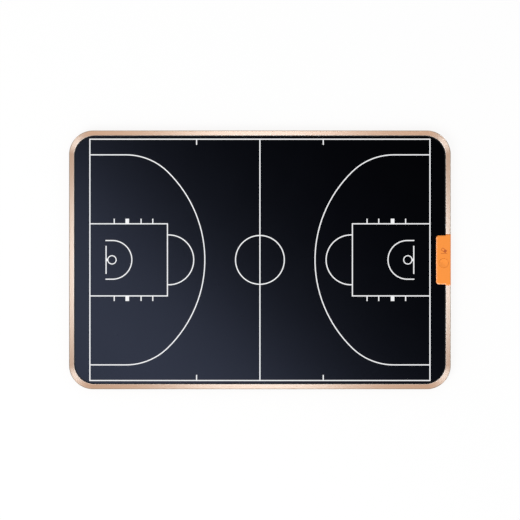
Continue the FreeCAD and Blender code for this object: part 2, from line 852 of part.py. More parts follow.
def lock_slider():
    """A grooved thumb piece in the module's end face, on a flange behind the wall."""
    y = lock_rest()
    grip_end = x_outer - lock_grip_sink
    grip = stadium(x_flange_end, grip_end, y, z_lever, lock_grip_length, lock_grip_height)
    half = lock_groove_width / 2
    first = y - (lock_groove_count - 1) * lock_groove_pitch / 2
    for i in range(lock_groove_count):
        groove = first + i * lock_groove_pitch
        grip = grip.cut(box(grip_end - lock_groove_depth, grip_end, groove - half, groove + half,
                            z_lever - lock_grip_height, z_lever + lock_grip_height))
    half_length = (lock_slot_length + lock_travel) / 2 + lock_flange_overlap
    half_height = lock_slot_height / 2 + lock_flange_overlap
    flange = box(x_flange, x_flange_end, y - half_length, y + half_length,
                 z_lever - half_height, z_lever + half_height)
    slider = joined([grip, flange])
    return slider.cut(lever_bar(x_flange, x_flange + lever_entry + lever_clearance, lever_clearance, y, y))


def lever_bar(x0, x1, margin, y0, y1):
    """A bar along X of the switch lever's section, wider by a margin, over its places y0 to y1."""
    half_width = lever_width / 2 + margin
    half_height = lever_height / 2 + margin
    return box(x0, x1, y0 - half_width, y1 + half_width, z_lever - half_height, z_lever + half_height)


def lock_lever():
    """The switch's lever, caught in the slider."""
    y = lock_rest()
    return lever_bar(x_circuit_end - lever_root, x_flange + lever_entry, 0, y, y)


def lock_switch():
    """The body of the slide switch, open where its lever moves."""
    half = lock_switch_length / 2
    body = box(x_circuit_end - lock_switch_depth, x_circuit_end, y_lock - half, y_lock + half,
               z_circuit_top, z_circuit_top + lock_switch_height)
    y = lock_rest()
    way = lever_bar(x_circuit_end - lever_root - lever_clearance, x_circuit_end, lever_clearance,
                    y - lock_travel, y)
    return body.cut(way)


# Coin cell, tray and contacts
def battery_tray():
    """A tray that pulls out of the module's end face, with a round seat for the cell."""
    half = tray_width / 2
    body = box(x_tray, x_outer, y_tray - half, y_tray + half, z_tray, z_tray_rim)
    front = box(x_cavity_end, x_outer, y_tray - half, y_tray + half, z_tray, z_tray_front)
    seat = round_bar(x_cell, y_tray, z_cell, z_cell_top, cell_diameter + 2 * cell_clearance)
    window = box(x_tray, x_cell, y_tray - tray_window / 2, y_tray + tray_window / 2, z_cell, z_cell_top)
    notch = box(x_outer - tray_nail_notch_depth, x_outer, y_tray - tray_nail_notch_length / 2,
                y_tray + tray_nail_notch_length / 2, z_tray, z_tray + tray_nail_notch_height)
    return joined([body, front]).cut(seat).cut(window).cut(notch)


def coin_cell():
    """The cell, with its smaller pole upwards."""
    can = round_bar(x_cell, y_tray, z_cell, z_cell_top - cell_step, cell_diameter)
    can = can.makeFillet(cell_edge_radius, edges_at(can, z_cell))
    return can.fuse(round_bar(x_cell, y_tray, z_cell_top - cell_step, z_cell_top, cell_base_diameter))


def contact_positive():
    """A strip that comes down behind the tray and touches the side of the cell."""
    x0 = x_cavity + contact_clearance
    x1 = x0 + contact_thickness
    x_tip = x_cell - cell_diameter / 2 - contact_clearance
    z_tip_top = z_circuit - tip_drop
    z_tip = z_tip_top - tip_height
    z_tab = z_circuit - contact_thickness
    points = [(x0, z_tip), (x_tip, z_tip), (x_tip, z_tip_top), (x1, z_tip_top), (x1, z_tab),
              (x_circuit + contact_tab, z_tab), (x_circuit + contact_tab, z_circuit), (x0, z_circuit)]
    return side_profile(points, y_tray - contact_width / 2, y_tray + contact_width / 2)


def contact_negative():
    """A leaf under the board that leans down onto the top of the cell."""
    x0 = x_cell - cell_diameter / 2 + leaf_from_cell_edge
    x1 = x0 + leaf_tab
    x2 = x1 + leaf_reach
    z_tab = z_circuit - contact_thickness
    z_touch = z_cell_top + contact_clearance
    points = [(x0, z_tab), (x1, z_tab), (x2, z_touch), (x2, z_touch + contact_thickness),
              (x1, z_circuit), (x0, z_circuit)]
    return side_profile(points, y_tray - contact_width / 2, y_tray + contact_width / 2)


nodes = {
    "frame_channel": frame_channel(),
    "edge_gasket": edge_gasket(),
    "writing_film": layer(z_film, film_thickness),
    "film_tape": layer(z_tape, tape_thickness),
    "steel_sheet": layer(z_steel, steel_thickness),
    "core_board": layer(z_core, core_thickness),
    "rear_cover": rear_cover(),
    "module_cover": module_cover(),
    "module_base": module_base(),
    "erase_button": erase_button(),
    "switch_body": switch_body(),
    "switch_plunger": switch_plunger(),
    "circuit_board": circuit_board(),
    "control_chip": control_chip(),
    "boost_coil": boost_coil(),
    "capacitors": capacitors(),
    "film_connector": film_connector(),
    "film_tail": film_tail(),
    "lock_slider": lock_slider(),
    "lock_lever": lock_lever(),
    "lock_switch": lock_switch(),
    "battery_tray": battery_tray(),
    "coin_cell": coin_cell(),
    "contact_positive": contact_positive(),
    "contact_negative": contact_negative(),
    "frame_screws": frame_screws(),
    "base_screws": base_screws(),
    "circuit_screws": circuit_screws(),
}
nodes.update(court_print())
for number, place in enumerate(foot_places(), start=1):
    nodes[f"foot_{number}"] = foot(*place)

os.makedirs("parts", exist_ok=True)
for node, shape in nodes.items():
    shape.exportStep(f"parts/{node}.step")
    print(node, len(shape.Solids), "solids", round(shape.Volume, 1), "mm3", shape.isValid())
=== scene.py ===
# %% [markdown]
# # A basketball tactics board
# The board comes from its CAD model as separate solids that already have their real size and place.
# This lesson gives them their looks: a camera and light as in a product photograph, a finely rounded
# frame, the small sign on the control module, and a finish for every solid. All lengths are in metres
# in the frame of the CAD model: X along the board, Y across it and Z out of the writing face.

# %% Load the board
import json
import math

import bpy
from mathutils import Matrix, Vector


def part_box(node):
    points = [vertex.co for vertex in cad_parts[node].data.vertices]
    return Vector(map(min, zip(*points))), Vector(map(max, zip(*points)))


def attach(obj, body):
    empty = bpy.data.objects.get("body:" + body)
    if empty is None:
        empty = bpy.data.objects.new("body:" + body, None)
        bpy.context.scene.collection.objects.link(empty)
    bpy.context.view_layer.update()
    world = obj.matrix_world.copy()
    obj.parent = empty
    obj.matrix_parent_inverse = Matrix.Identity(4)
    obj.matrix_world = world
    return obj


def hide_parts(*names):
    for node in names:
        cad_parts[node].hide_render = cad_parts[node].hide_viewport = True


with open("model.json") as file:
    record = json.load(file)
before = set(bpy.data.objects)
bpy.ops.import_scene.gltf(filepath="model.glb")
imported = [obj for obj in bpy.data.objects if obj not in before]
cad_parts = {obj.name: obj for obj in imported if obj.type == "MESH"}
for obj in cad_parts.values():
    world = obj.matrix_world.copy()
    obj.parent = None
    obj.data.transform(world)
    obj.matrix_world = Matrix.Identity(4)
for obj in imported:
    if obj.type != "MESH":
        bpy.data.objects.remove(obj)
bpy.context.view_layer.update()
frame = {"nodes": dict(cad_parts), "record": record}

MM = 0.001
nodes = frame["nodes"]
bpy.ops.object.select_all(action="DESELECT")

# %% [markdown]
# ## Camera
# The photograph looks straight down on the writing face. A camera that isn't turned already looks down
# along -Z with +Y up, so it only needs its height. A long lens keeps the raised module from leaning
# outwards, and the height follows from the width that the picture takes in at the front of the frame.
# Blender takes the lens and the sensor in millimetres.

# %% Camera straight above the board
LENS = 100.0
SENSOR = 36.0
PICTURE_WIDTH = 612.8 * MM
PICTURE_CENTRE = (0.10 * MM, -0.17 * MM)
z_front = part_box("frame_channel")[1].z
camera_height = z_front + PICTURE_WIDTH * LENS / SENSOR
bpy.ops.object.camera_add(location=(*PICTURE_CENTRE, camera_height), rotation=(0, 0, 0))
camera = bpy.context.object
camera.name = "camera"
camera.data.lens = LENS
camera.data.sensor_width = SENSOR
bpy.context.scene.camera = camera
bpy.context.scene.view_settings.view_transform = "Standard"
print("camera height in mm:", round(camera_height / MM, 1))

# %% [markdown]
# ## Helpers for finishes
# Colours are written as sRGB hex values, as a picture editor shows them, but shaders work with linear
# light, so one function converts them. Another adds a shader node, sets its properties, and fills its
# inputs with plain values or with the outputs of earlier nodes. A mix node has sockets for numbers,
# vectors and colours side by side, so those for colours are known by their places.

# %% Colour and node helpers
MIX_SHARE = 0
MIX_FIRST = 6
MIX_SECOND = 7
MIX_RESULT = 2


def to_linear(colour):
    """An sRGB hex colour as linear red, green, blue and alpha."""
    shares = [int(colour[i:i + 2], 16) / 255 for i in (0, 2, 4)]
    return (*[s / 12.92 if s <= 0.04045 else ((s + 0.055) / 1.055) ** 2.4 for s in shares], 1.0)


def add_node(tree, kind, inputs=None, **settings):
    """A new node with its settings, and with its inputs set to values or linked to outputs."""
    node = tree.nodes.new(kind)
    for name, value in settings.items():
        setattr(node, name, value)
    for socket, value in (inputs or {}).items():
        if isinstance(value, bpy.types.NodeSocket):
            tree.links.new(value, node.inputs[socket])
        else:
            node.inputs[socket].default_value = value
    return node


def new_finish(name):
    """An empty material and its node tree."""
    material = bpy.data.materials.new(name)
    material.use_nodes = True
    material.node_tree.nodes.clear()
    return material, material.node_tree


print("white in linear light:", to_linear("FFFFFF"))

# %% [markdown]
# ## White surroundings
# The board lies on white, with light from all round. The world is white at strength 1 wherever it is
# seen, directly or in a reflection, and a little weaker where it lights rough surfaces, which leaves
# room for lamps. The floor is a pale matt sheet whose shadow is kept, and it glows just enough to the
# eye to end up white where nothing shades it.

# %% World and floor
AMBIENT = 0.76
FLOOR_SIZE = 14.0
FLOOR_GAP = 0.05 * MM
FLOOR_ALBEDO = 0.15


def seen_directly(tree):
    """1 for rays from the camera, a reflection or a clear material, and 0 for rays of soft light."""
    path = add_node(tree, "ShaderNodeLightPath").outputs
    seen = add_node(tree, "ShaderNodeMath", {0: path["Is Camera Ray"], 1: path["Is Glossy Ray"]},
                    operation="MAXIMUM")
    seen = add_node(tree, "ShaderNodeMath", {0: seen.outputs[0], 1: path["Is Transmission Ray"]},
                    operation="MAXIMUM")
    return seen.outputs[0]


def white_studio():
    """The world: white to look at, and an even soft light on the board."""
    world = bpy.data.worlds.new("white_studio")
    world.use_nodes = True
    tree = world.node_tree
    tree.nodes.clear()
    strength = add_node(tree, "ShaderNodeMapRange", {"Value": seen_directly(tree), "To Min": AMBIENT,
                                                     "To Max": 1.0})
    sky = add_node(tree, "ShaderNodeBackground", {"Color": to_linear("FFFFFF"),
                                                  "Strength": strength.outputs[0]})
    add_node(tree, "ShaderNodeOutputWorld", {"Surface": sky.outputs[0]})
    return world


def matt_white_floor():
    """Matt paper: a part of its white is light that the board can shade, and the rest is its own."""
    material, tree = new_finish("matt_white_paper_sheet")
    glow = add_node(tree, "ShaderNodeMath", {0: seen_directly(tree), 1: 1.0 - FLOOR_ALBEDO},
                    operation="MULTIPLY")
    lit = add_node(tree, "ShaderNodeBsdfDiffuse", {"Color": (*[FLOOR_ALBEDO] * 3, 1.0)})
    own = add_node(tree, "ShaderNodeEmission", {"Color": to_linear("FFFFFF"),
                                                "Strength": glow.outputs[0]})
    both = add_node(tree, "ShaderNodeAddShader", {0: lit.outputs[0], 1: own.outputs[0]})
    add_node(tree, "ShaderNodeOutputMaterial", {"Surface": both.outputs[0]})
    return material


bpy.context.scene.world = white_studio()
bpy.ops.mesh.primitive_plane_add(size=FLOOR_SIZE, location=(0, 0, -FLOOR_GAP))
floor = bpy.context.object
floor.name = "floor"
floor.data.materials.append(matt_white_floor())
print("floor:", FLOOR_SIZE, "m square")

# %% [markdown]
# ## Shaping helpers
# Pieces are modelled as by hand: a primitive, then edit-mode tools on edges or faces that are picked
# by their place, then modifiers. These helpers pick what to work on, cut one shape out of another and
# apply a modifier, so that each piece below reads as a list of steps.

# %% Picking helpers
SAME_HEIGHT = 0.001 * MM
BORDER_SLACK = 0.01 * MM


def only(piece):
    """Makes a piece the only one that is selected."""
    bpy.ops.object.select_all(action="DESELECT")
    piece.select_set(True)
    bpy.context.view_layer.objects.active = piece


def pick(piece, kind, wanted):
    """Goes into edit mode with only those edges or faces selected whose corners pass the test."""
    only(piece)
    bpy.ops.object.mode_set(mode="EDIT")
    bpy.ops.mesh.select_mode(type=kind)
    bpy.ops.mesh.select_all(action="DESELECT")
    bpy.ops.object.mode_set(mode="OBJECT")
    parts = piece.data.edges if kind == "EDGE" else piece.data.polygons
    for part in parts:
        part.select = wanted([piece.data.vertices[i].co for i in part.vertices])
    bpy.ops.object.mode_set(mode="EDIT")


def flat_at(corners, z):
    """Whether all corners lie at height z."""
    return all(abs(corner.z - z) < SAME_HEIGHT for corner in corners)


def within(corners, x, y, half_length, half_width):
    """Whether all corners lie in a rectangle around x and y, or on its border."""
    return all(abs(corner.x - x) < half_length + BORDER_SLACK
               and abs(corner.y - y) < half_width + BORDER_SLACK for corner in corners)


print("picking helpers ready, slack in mm:", BORDER_SLACK / MM)


# %% Cutting and slab helpers
def finish_with(piece, kind, **settings):
    """Adds a modifier with its settings and applies it."""
    only(piece)
    bpy.ops.object.modifier_add(type=kind)
    modifier = piece.modifiers[-1]
    for name, value in settings.items():
        setattr(modifier, name, value)
    bpy.ops.object.modifier_apply(modifier=modifier.name)


def cut_away(piece, cutter):
    """Takes the cutter's shape out of a piece and deletes the cutter."""
    finish_with(piece, "BOOLEAN", operation="DIFFERENCE", solver="EXACT", object=cutter)
    only(cutter)
    bpy.ops.object.delete()


def rounded_slab(name, length, width, radius, z_low, z_high, steps):
    """A slab with round corners: a plane, bevelled at its corners and extruded."""
    bpy.ops.object.select_all(action="DESELECT")
    bpy.ops.mesh.primitive_plane_add(size=1.0, location=(0, 0, z_low))
    slab = bpy.context.object
    slab.name = name
    slab.scale = (length, width, 1.0)
    bpy.ops.object.transform_apply(location=True, rotation=True, scale=True)
    bpy.ops.object.mode_set(mode="EDIT")
    bpy.ops.mesh.select_all(action="SELECT")
    bpy.ops.mesh.bevel(offset=radius, segments=steps, affect="VERTICES")
    bpy.ops.mesh.select_all(action="SELECT")
    bpy.ops.mesh.extrude_region_move(TRANSFORM_OT_translate={"value": (0, 0, z_high - z_low)})
    bpy.ops.mesh.select_all(action="SELECT")
    bpy.ops.mesh.normals_make_consistent(inside=False)
    bpy.ops.object.mode_set(mode="OBJECT")
    return slab


print("cutting and slab helpers ready")

# %% [markdown]
# ## The frame
# The real frame is an aluminium channel, bent into one loop that stops at each side of the module. It
# could be a profile swept along a path, but its mouth has its own corner radius, which a sweep can't
# give. So it starts as a slab of the frame's outline with rounded edges, and cutters take out the
# channel and the mouth. A bevel breaks the lip's sharp inner edge, where the real frame has a fine cut
# that catches the light, and another cutter makes the gap for the module.

# %% Frame slab with rounded edges
OUTER_RADIUS = 28.3 * MM
EDGE_RADIUS = 1.1 * MM
CORNER_STEPS = 40
EDGE_STEPS = 6
frame_low, frame_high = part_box("frame_channel")
frame_length = frame_high.x - frame_low.x
frame_width = frame_high.y - frame_low.y
frame_height = frame_high.z - frame_low.z
frame_rail = rounded_slab("frame_rail", frame_length, frame_width, OUTER_RADIUS, frame_low.z,
                          frame_high.z, CORNER_STEPS)
pick(frame_rail, "EDGE", lambda c: flat_at(c, frame_low.z) or flat_at(c, frame_high.z))
bpy.ops.mesh.bevel(offset=EDGE_RADIUS, segments=EDGE_STEPS, affect="EDGES")
bpy.ops.object.mode_set(mode="OBJECT")
print("frame slab faces:", len(frame_rail.data.polygons))

# %% Channel and mouth
WALL = 1.2 * MM
LIP_WIDTH = 5.9 * MM
LIP_THICKNESS = 1.2 * MM
LIP_CHAMFER = 0.8 * MM
CHAMFER_STEPS = 2
MOUTH_RADIUS = 24.2 * MM
OVERCUT = 1.0 * MM
channel = rounded_slab("channel", frame_length - 2 * WALL, frame_width - 2 * WALL, OUTER_RADIUS - WALL,
                       frame_low.z + LIP_THICKNESS, frame_high.z - LIP_THICKNESS, CORNER_STEPS)
cut_away(frame_rail, channel)
mouth_length = frame_length - 2 * LIP_WIDTH
mouth_width = frame_width - 2 * LIP_WIDTH
mouth = rounded_slab("mouth", mouth_length, mouth_width, MOUTH_RADIUS, frame_low.z - OVERCUT,
                     frame_high.z + OVERCUT, CORNER_STEPS)
cut_away(frame_rail, mouth)
pick(frame_rail, "EDGE", lambda c: flat_at(c, frame_high.z)
     and within(c, 0, 0, mouth_length / 2, mouth_width / 2))
bpy.ops.mesh.bevel(offset=LIP_CHAMFER, segments=CHAMFER_STEPS, affect="EDGES")
bpy.ops.object.mode_set(mode="OBJECT")
print("frame faces with channel and mouth:", len(frame_rail.data.polygons))

# %% Gap for the module
GAP_LENGTH = 60.5 * MM
GAP_REACH = 4 * LIP_WIDTH
bpy.ops.mesh.primitive_cube_add(size=1.0, location=(frame_high.x, 0, (frame_low.z + frame_high.z) / 2))
gap = bpy.context.object
gap.scale = (GAP_REACH, GAP_LENGTH, 2 * frame_height)
bpy.ops.object.transform_apply(location=True, rotation=True, scale=True)
cut_away(frame_rail, gap)
print("frame faces with the gap:", len(frame_rail.data.polygons))

# %% [markdown]
# Two countersunk screws come up through the rear lip into the module. Each hole starts as a cone whose
# narrow end is extruded into the screw's bore, and the frame is cut with one at each side of the
# module. The weighted normals at the end keep the flat lip flat to the light right up to its rounded
# edges.

# %% Countersunk holes and smooth shading
HOLE_X = 221.8 * MM
HOLE_Y = 37.8 * MM
HOLE_WIDE = 1.9 * MM
HOLE_NARROW = 1.1 * MM
HOLE_DEPTH = 0.9 * MM
HOLE_SIDES = 32
SMOOTH_ANGLE = math.radians(35)
for side in (-1, 1):
    bpy.ops.mesh.primitive_cone_add(vertices=HOLE_SIDES, radius1=HOLE_WIDE, radius2=HOLE_NARROW,
                                    depth=HOLE_DEPTH,
                                    location=(HOLE_X, side * HOLE_Y, frame_low.z + HOLE_DEPTH / 2))
    countersink = bpy.context.object
    bpy.ops.object.transform_apply(location=True, rotation=True, scale=True)
    pick(countersink, "FACE", lambda c: flat_at(c, frame_low.z + HOLE_DEPTH))
    bpy.ops.mesh.extrude_region_move(TRANSFORM_OT_translate={"value": (0, 0, LIP_THICKNESS)})
    bpy.ops.object.mode_set(mode="OBJECT")
    cut_away(frame_rail, countersink)
only(frame_rail)
bpy.ops.object.shade_smooth_by_angle(angle=SMOOTH_ANGLE)
finish_with(frame_rail, "WEIGHTED_NORMAL", keep_sharp=True)
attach(frame_rail, "board")
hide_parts("frame_channel")
print("finished frame faces:", len(frame_rail.data.polygons))

# %% [markdown]
# ## The sign above the erase button
# A small printed sign tells which button wipes the board. It is an eraser in outline, half of it
# filled, leaning on a short stroke. Each part is a plane, bevelled or inset, in one mesh. Raising it by
# a hair gives the ink a body, as pad printing does on a plastic shell.

# %% Eraser sign
SIGN_X = 216.8 * MM
SIGN_Y = 11.2 * MM
SIGN_LENGTH = 6.6 * MM
SIGN_WIDTH = 3.6 * MM
SIGN_LINE = 0.55 * MM
SIGN_TURN = math.radians(35)
SIGN_CORNER_STEPS = 5
INK_SINK = 0.02 * MM
cover_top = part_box("module_cover")[1].z
sign_place = (SIGN_X, SIGN_Y, cover_top - INK_SINK)
bpy.ops.object.select_all(action="DESELECT")
bpy.ops.mesh.primitive_plane_add(size=1.0, location=sign_place)
erase_sign = bpy.context.object
erase_sign.name = "erase_sign"
erase_sign.scale = (SIGN_LENGTH, SIGN_WIDTH, 1.0)
bpy.ops.object.transform_apply(location=True, rotation=True, scale=True)
bpy.ops.object.mode_set(mode="EDIT")
bpy.ops.mesh.select_all(action="SELECT")
bpy.ops.mesh.bevel(offset=SIGN_LINE, segments=SIGN_CORNER_STEPS, affect="VERTICES")
bpy.ops.mesh.select_all(action="SELECT")
bpy.ops.mesh.inset(thickness=SIGN_LINE)
bpy.ops.mesh.bisect(plane_co=sign_place, plane_no=(1, 0, 0))
bpy.ops.object.mode_set(mode="OBJECT")
print("sign faces before the hollow:", len(erase_sign.data.polygons))

# %% Hollow half of the eraser
hollow_length = SIGN_LENGTH / 2 - SIGN_LINE
hollow_width = SIGN_WIDTH - 2 * SIGN_LINE
pick(erase_sign, "FACE", lambda c: within(c, SIGN_X - hollow_length / 2, SIGN_Y, hollow_length / 2,
                                          hollow_width / 2))
bpy.ops.mesh.delete(type="FACE")
bpy.ops.mesh.select_all(action="SELECT")
bpy.ops.transform.rotate(value=SIGN_TURN, orient_axis="Z", center_override=sign_place)
bpy.ops.object.mode_set(mode="OBJECT")
print("sign faces with the hollow:", len(erase_sign.data.polygons))

# %% Stroke below the eraser, and body for the ink
STROKE_LENGTH = 7.2 * MM
STROKE_DROP = 3.75 * MM
STROKE_CORNER = SIGN_LINE / 3
STROKE_CORNER_STEPS = 3
INK_HEIGHT = 0.04 * MM
only(erase_sign)
bpy.ops.object.mode_set(mode="EDIT")
bpy.ops.mesh.select_all(action="DESELECT")
bpy.ops.mesh.primitive_plane_add(size=1.0, location=(SIGN_X, SIGN_Y - STROKE_DROP, sign_place[2]))
bpy.ops.transform.resize(value=(STROKE_LENGTH, SIGN_LINE, 1.0))
bpy.ops.mesh.bevel(offset=STROKE_CORNER, segments=STROKE_CORNER_STEPS, affect="VERTICES")
bpy.ops.mesh.select_all(action="SELECT")
bpy.ops.mesh.extrude_region_move(TRANSFORM_OT_translate={"value": (0, 0, INK_SINK + INK_HEIGHT)})
bpy.ops.mesh.select_all(action="SELECT")
bpy.ops.mesh.normals_make_consistent(inside=False)
bpy.ops.object.mode_set(mode="OBJECT")
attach(erase_sign, "board")
print("sign box in mm:", [round(c / MM, 2) for c in erase_sign.dimensions])

# %% [markdown]
# ## A common grain
# Most finishes here are moulded, pressed or plated: one fine grain changes their colour, gloss and
# height together. One function builds that from the grain's real size, and each finish below gives it
# the numbers of its own material.

# %% Grained finish
def grained_finish(name, dark, light, grain, depth, smooth, rough, **sockets):
    """A finish whose colour, roughness and height follow one grain of a given size in metres."""
    material, tree = new_finish(name)
    place = add_node(tree, "ShaderNodeTexCoord")
    noise = add_node(tree, "ShaderNodeTexNoise", {"Vector": place.outputs["Object"], "Scale": 1 / grain,
                                                  "Detail": 3.0})
    colour = add_node(tree, "ShaderNodeMix", {MIX_SHARE: noise.outputs[0], MIX_FIRST: to_linear(dark),
                                              MIX_SECOND: to_linear(light)}, data_type="RGBA")
    gloss = add_node(tree, "ShaderNodeMapRange", {"Value": noise.outputs[0], "To Min": smooth,
                                                  "To Max": rough})
    relief = add_node(tree, "ShaderNodeBump", {"Height": noise.outputs[0], "Distance": depth})
    shader = add_node(tree, "ShaderNodeBsdfPrincipled", {
        "Base Color": colour.outputs[MIX_RESULT], "Roughness": gloss.outputs[0],
        "Normal": relief.outputs[0],
        **{socket.replace("_", " "): value for socket, value in sockets.items()}})
    add_node(tree, "ShaderNodeOutputMaterial", {"Surface": shader.outputs[0]})
    return material


print("grained finish ready")

# %% [markdown]
# ## Brushed aluminium
# The frame is anodised aluminium, dyed rose gold, with brush lines along its length. Such lines spread
# a highlight across themselves and keep it tight along them, so every side is brightest at its middle
# and each corner has a highlight of its own. The shader does that with its anisotropy, if it knows
# which way is across: the direction from the frame's inner rectangle gives the way along, and the
# surface's normal then gives the way across on every face. The same direction finds the lip's inward
# cut, which gets a painted highlight, and the rounded outer edge, which gets painted shade.

# %% Directions on the frame
TALL = 1.0


def frame_directions(tree):
    """The place, the level way outwards, the way across, and how far a face looks outwards."""
    place = add_node(tree, "ShaderNodeTexCoord").outputs["Object"]
    # The inner rectangle is taken as taller than the frame, so that the way outwards is level.
    half_x = frame_length / 2 - OUTER_RADIUS
    half_y = frame_width / 2 - OUTER_RADIUS
    core = add_node(tree, "ShaderNodeVectorMath", {0: place, 1: (-half_x, -half_y, -TALL)},
                    operation="MAXIMUM")
    core = add_node(tree, "ShaderNodeVectorMath", {0: core.outputs[0], 1: (half_x, half_y, TALL)},
                    operation="MINIMUM")
    outward = add_node(tree, "ShaderNodeVectorMath", {0: place, 1: core.outputs[0]},
                       operation="SUBTRACT")
    along = add_node(tree, "ShaderNodeVectorMath", {0: (0, 0, 1), 1: outward.outputs[0]},
                     operation="CROSS_PRODUCT")
    normal = add_node(tree, "ShaderNodeNewGeometry").outputs["Normal"]
    across = add_node(tree, "ShaderNodeVectorMath", {0: normal, 1: along.outputs[0]},
                      operation="CROSS_PRODUCT")
    across = add_node(tree, "ShaderNodeVectorMath", {0: across.outputs[0]}, operation="NORMALIZE")
    away = add_node(tree, "ShaderNodeVectorMath", {0: outward.outputs[0]}, operation="NORMALIZE")
    facing = add_node(tree, "ShaderNodeVectorMath", {0: normal, 1: away.outputs[0]},
                      operation="DOT_PRODUCT")
    return place, outward.outputs[0], across.outputs[0], facing.outputs["Value"]


print("inner rectangle in mm:", round((frame_length - 2 * OUTER_RADIUS) / MM, 1), "by",
      round((frame_width - 2 * OUTER_RADIUS) / MM, 1))

# %% Brush lines, and painted highlight and shade on the frame's edges
# Real brush lines are about 0.05 mm wide. They are drawn 0.4 mm wide, so that they show from near by,
# and each is about a hundred times as long as it is wide.
BRUSH_LINE = 0.4 * MM
BRUSH_DRIFT = 0.01
# A face looks straight in at -1 and straight out at 1. These are the values at which the painted
# highlight on the lip's cut and the painted shade on the rounded edge start and are full, and between
# which the painted shade goes over into the plain wall.
CUT_HIGHLIGHT_STARTS = -0.2
CUT_HIGHLIGHT_FULL = -0.6
EDGE_SHADE_STARTS = 0.1
EDGE_SHADE_FULL = 0.4
WALL_STARTS = 0.9
WALL_FULL = 1.0


def brush_lines(tree, place, outward):
    """A noise that is drawn out along the frame."""
    distance = add_node(tree, "ShaderNodeVectorMath", {0: outward}, operation="LENGTH")
    axes = add_node(tree, "ShaderNodeSeparateXYZ", {0: place})
    drift = add_node(tree, "ShaderNodeMath", {0: axes.outputs["X"], 1: axes.outputs["Y"]},
                     operation="ADD")
    drift = add_node(tree, "ShaderNodeMath", {0: drift.outputs[0], 1: BRUSH_DRIFT},
                     operation="MULTIPLY")
    track = add_node(tree, "ShaderNodeCombineXYZ", {
        "X": distance.outputs["Value"], "Y": axes.outputs["Z"], "Z": drift.outputs[0]})
    lines = add_node(tree, "ShaderNodeTexNoise", {"Vector": track.outputs[0], "Scale": 1 / BRUSH_LINE,
                                                  "Detail": 2.0})
    return lines.outputs[0]


def painted_edge_light(tree, colour, facing):
    """The dyed colour, with a painted highlight on the lip's inward chamfer and painted shade on the
    rounded outer rim.
    """
    # The cut along the lip faces inwards. Its paler colour is a painted highlight, where light catches
    # it.
    cut_highlight = add_node(tree, "ShaderNodeMapRange", {"Value": facing, "From Min": CUT_HIGHLIGHT_STARTS,
                                                "From Max": CUT_HIGHLIGHT_FULL})
    colour = add_node(tree, "ShaderNodeMix", {MIX_SHARE: cut_highlight.outputs[0], MIX_FIRST: colour,
                                              MIX_SECOND: to_linear("F3DDCB")}, data_type="RGBA")
    # The rounded outer edge, between the top and the wall, is painted greyer, as shade.
    rim_shade_ramp = add_node(tree, "ShaderNodeMapRange", {"Value": facing, "From Min": EDGE_SHADE_STARTS,
                                                   "From Max": EDGE_SHADE_FULL})
    edge_shade = add_node(tree, "ShaderNodeMapRange", {"Value": facing, "From Min": WALL_FULL,
                                                 "From Max": WALL_STARTS, "To Max": rim_shade_ramp.outputs[0]})
    colour = add_node(tree, "ShaderNodeMix", {
        MIX_SHARE: edge_shade.outputs[0], MIX_FIRST: colour.outputs[MIX_RESULT],
        MIX_SECOND: to_linear("A08A75")}, data_type="RGBA")
    return colour.outputs[MIX_RESULT]


print("brush lines in mm:", BRUSH_LINE / MM)


# %% Brushed aluminium
def brushed_anodised_aluminium():
    """Rose gold metal with fine lines along the frame, soft across them and sharper along them."""
    material, tree = new_finish("brushed_anodised_aluminium_rose_gold")
    place, outward, across, facing = frame_directions(tree)
    lines = brush_lines(tree, place, outward)
    dyed = add_node(tree, "ShaderNodeMix", {MIX_SHARE: lines, MIX_FIRST: to_linear("BA957B"),
                                            MIX_SECOND: to_linear("C29D83")}, data_type="RGBA")
    # The base colour carries a painted highlight on the lip's cut and painted shade on the rounded
    # outer edge.
    colour = painted_edge_light(tree, dyed.outputs[MIX_RESULT], facing)
    gloss = add_node(tree, "ShaderNodeMapRange", {"Value": lines, "To Min": 0.35, "To Max": 0.40})
    relief = add_node(tree, "ShaderNodeBump", {"Height": lines, "Distance": 0.002 * MM})
    shader = add_node(tree, "ShaderNodeBsdfPrincipled", {
        "Base Color": colour, "Metallic": 1.0, "Roughness": gloss.outputs[0], "Anisotropic": 0.97,
        "Tangent": across, "Normal": relief.outputs[0]})
    add_node(tree, "ShaderNodeOutputMaterial", {"Surface": shader.outputs[0]})
    return material


frame_rail.data.materials.append(brushed_anodised_aluminium())
print("frame finish:", frame_rail.data.materials[0].name)

# %% [markdown]
# ## Writing film
# The film is nearly black all through and has a hard coat that keeps reflections down, so it looks deep
# and smooth, with a broad cool sheen where a lamp faces it. A wide, faint noise in the roughness stands
# for the film's slight unevenness. The court is printed on it in opaque white ink, whose edge and body
# are the CAD solid's own.

# %% Film and ink
FILM_CLOUD = 35 * MM


def hard_coated_writing_film():
    """Near-black film under a low-reflection coat, a trace blue in its depth."""
    material, tree = new_finish("hard_coated_writing_film")
    place = add_node(tree, "ShaderNodeTexCoord").outputs["Object"]
    cloud = add_node(tree, "ShaderNodeTexNoise", {"Vector": place, "Scale": 1 / FILM_CLOUD,
                                                  "Detail": 2.0})
    gloss = add_node(tree, "ShaderNodeMapRange", {"Value": cloud.outputs[0], "To Min": 0.245,
                                                  "To Max": 0.265})
    colour = add_node(tree, "ShaderNodeMix", {
        MIX_SHARE: cloud.outputs[0], MIX_FIRST: to_linear("000001"),
        MIX_SECOND: to_linear("010102")}, data_type="RGBA")
    shader = add_node(tree, "ShaderNodeBsdfPrincipled", {
        "Base Color": colour.outputs[MIX_RESULT], "Roughness": gloss.outputs[0],
        "Specular IOR Level": 0.007})
    add_node(tree, "ShaderNodeOutputMaterial", {"Surface": shader.outputs[0]})
    return material


def screen_printed_white_ink():
    """Opaque ink, a little uneven where the screen's mesh let it through."""
    # The real mesh is about 0.1 mm. It is drawn coarser, so that it shows.
    return grained_finish("screen_printed_white_ink", "EFF0F2", "FAFAFB", grain=0.6 * MM,
                          depth=0.004 * MM, smooth=0.45, rough=0.6)


print("film and ink ready, film cloud in mm:", FILM_CLOUD / MM)

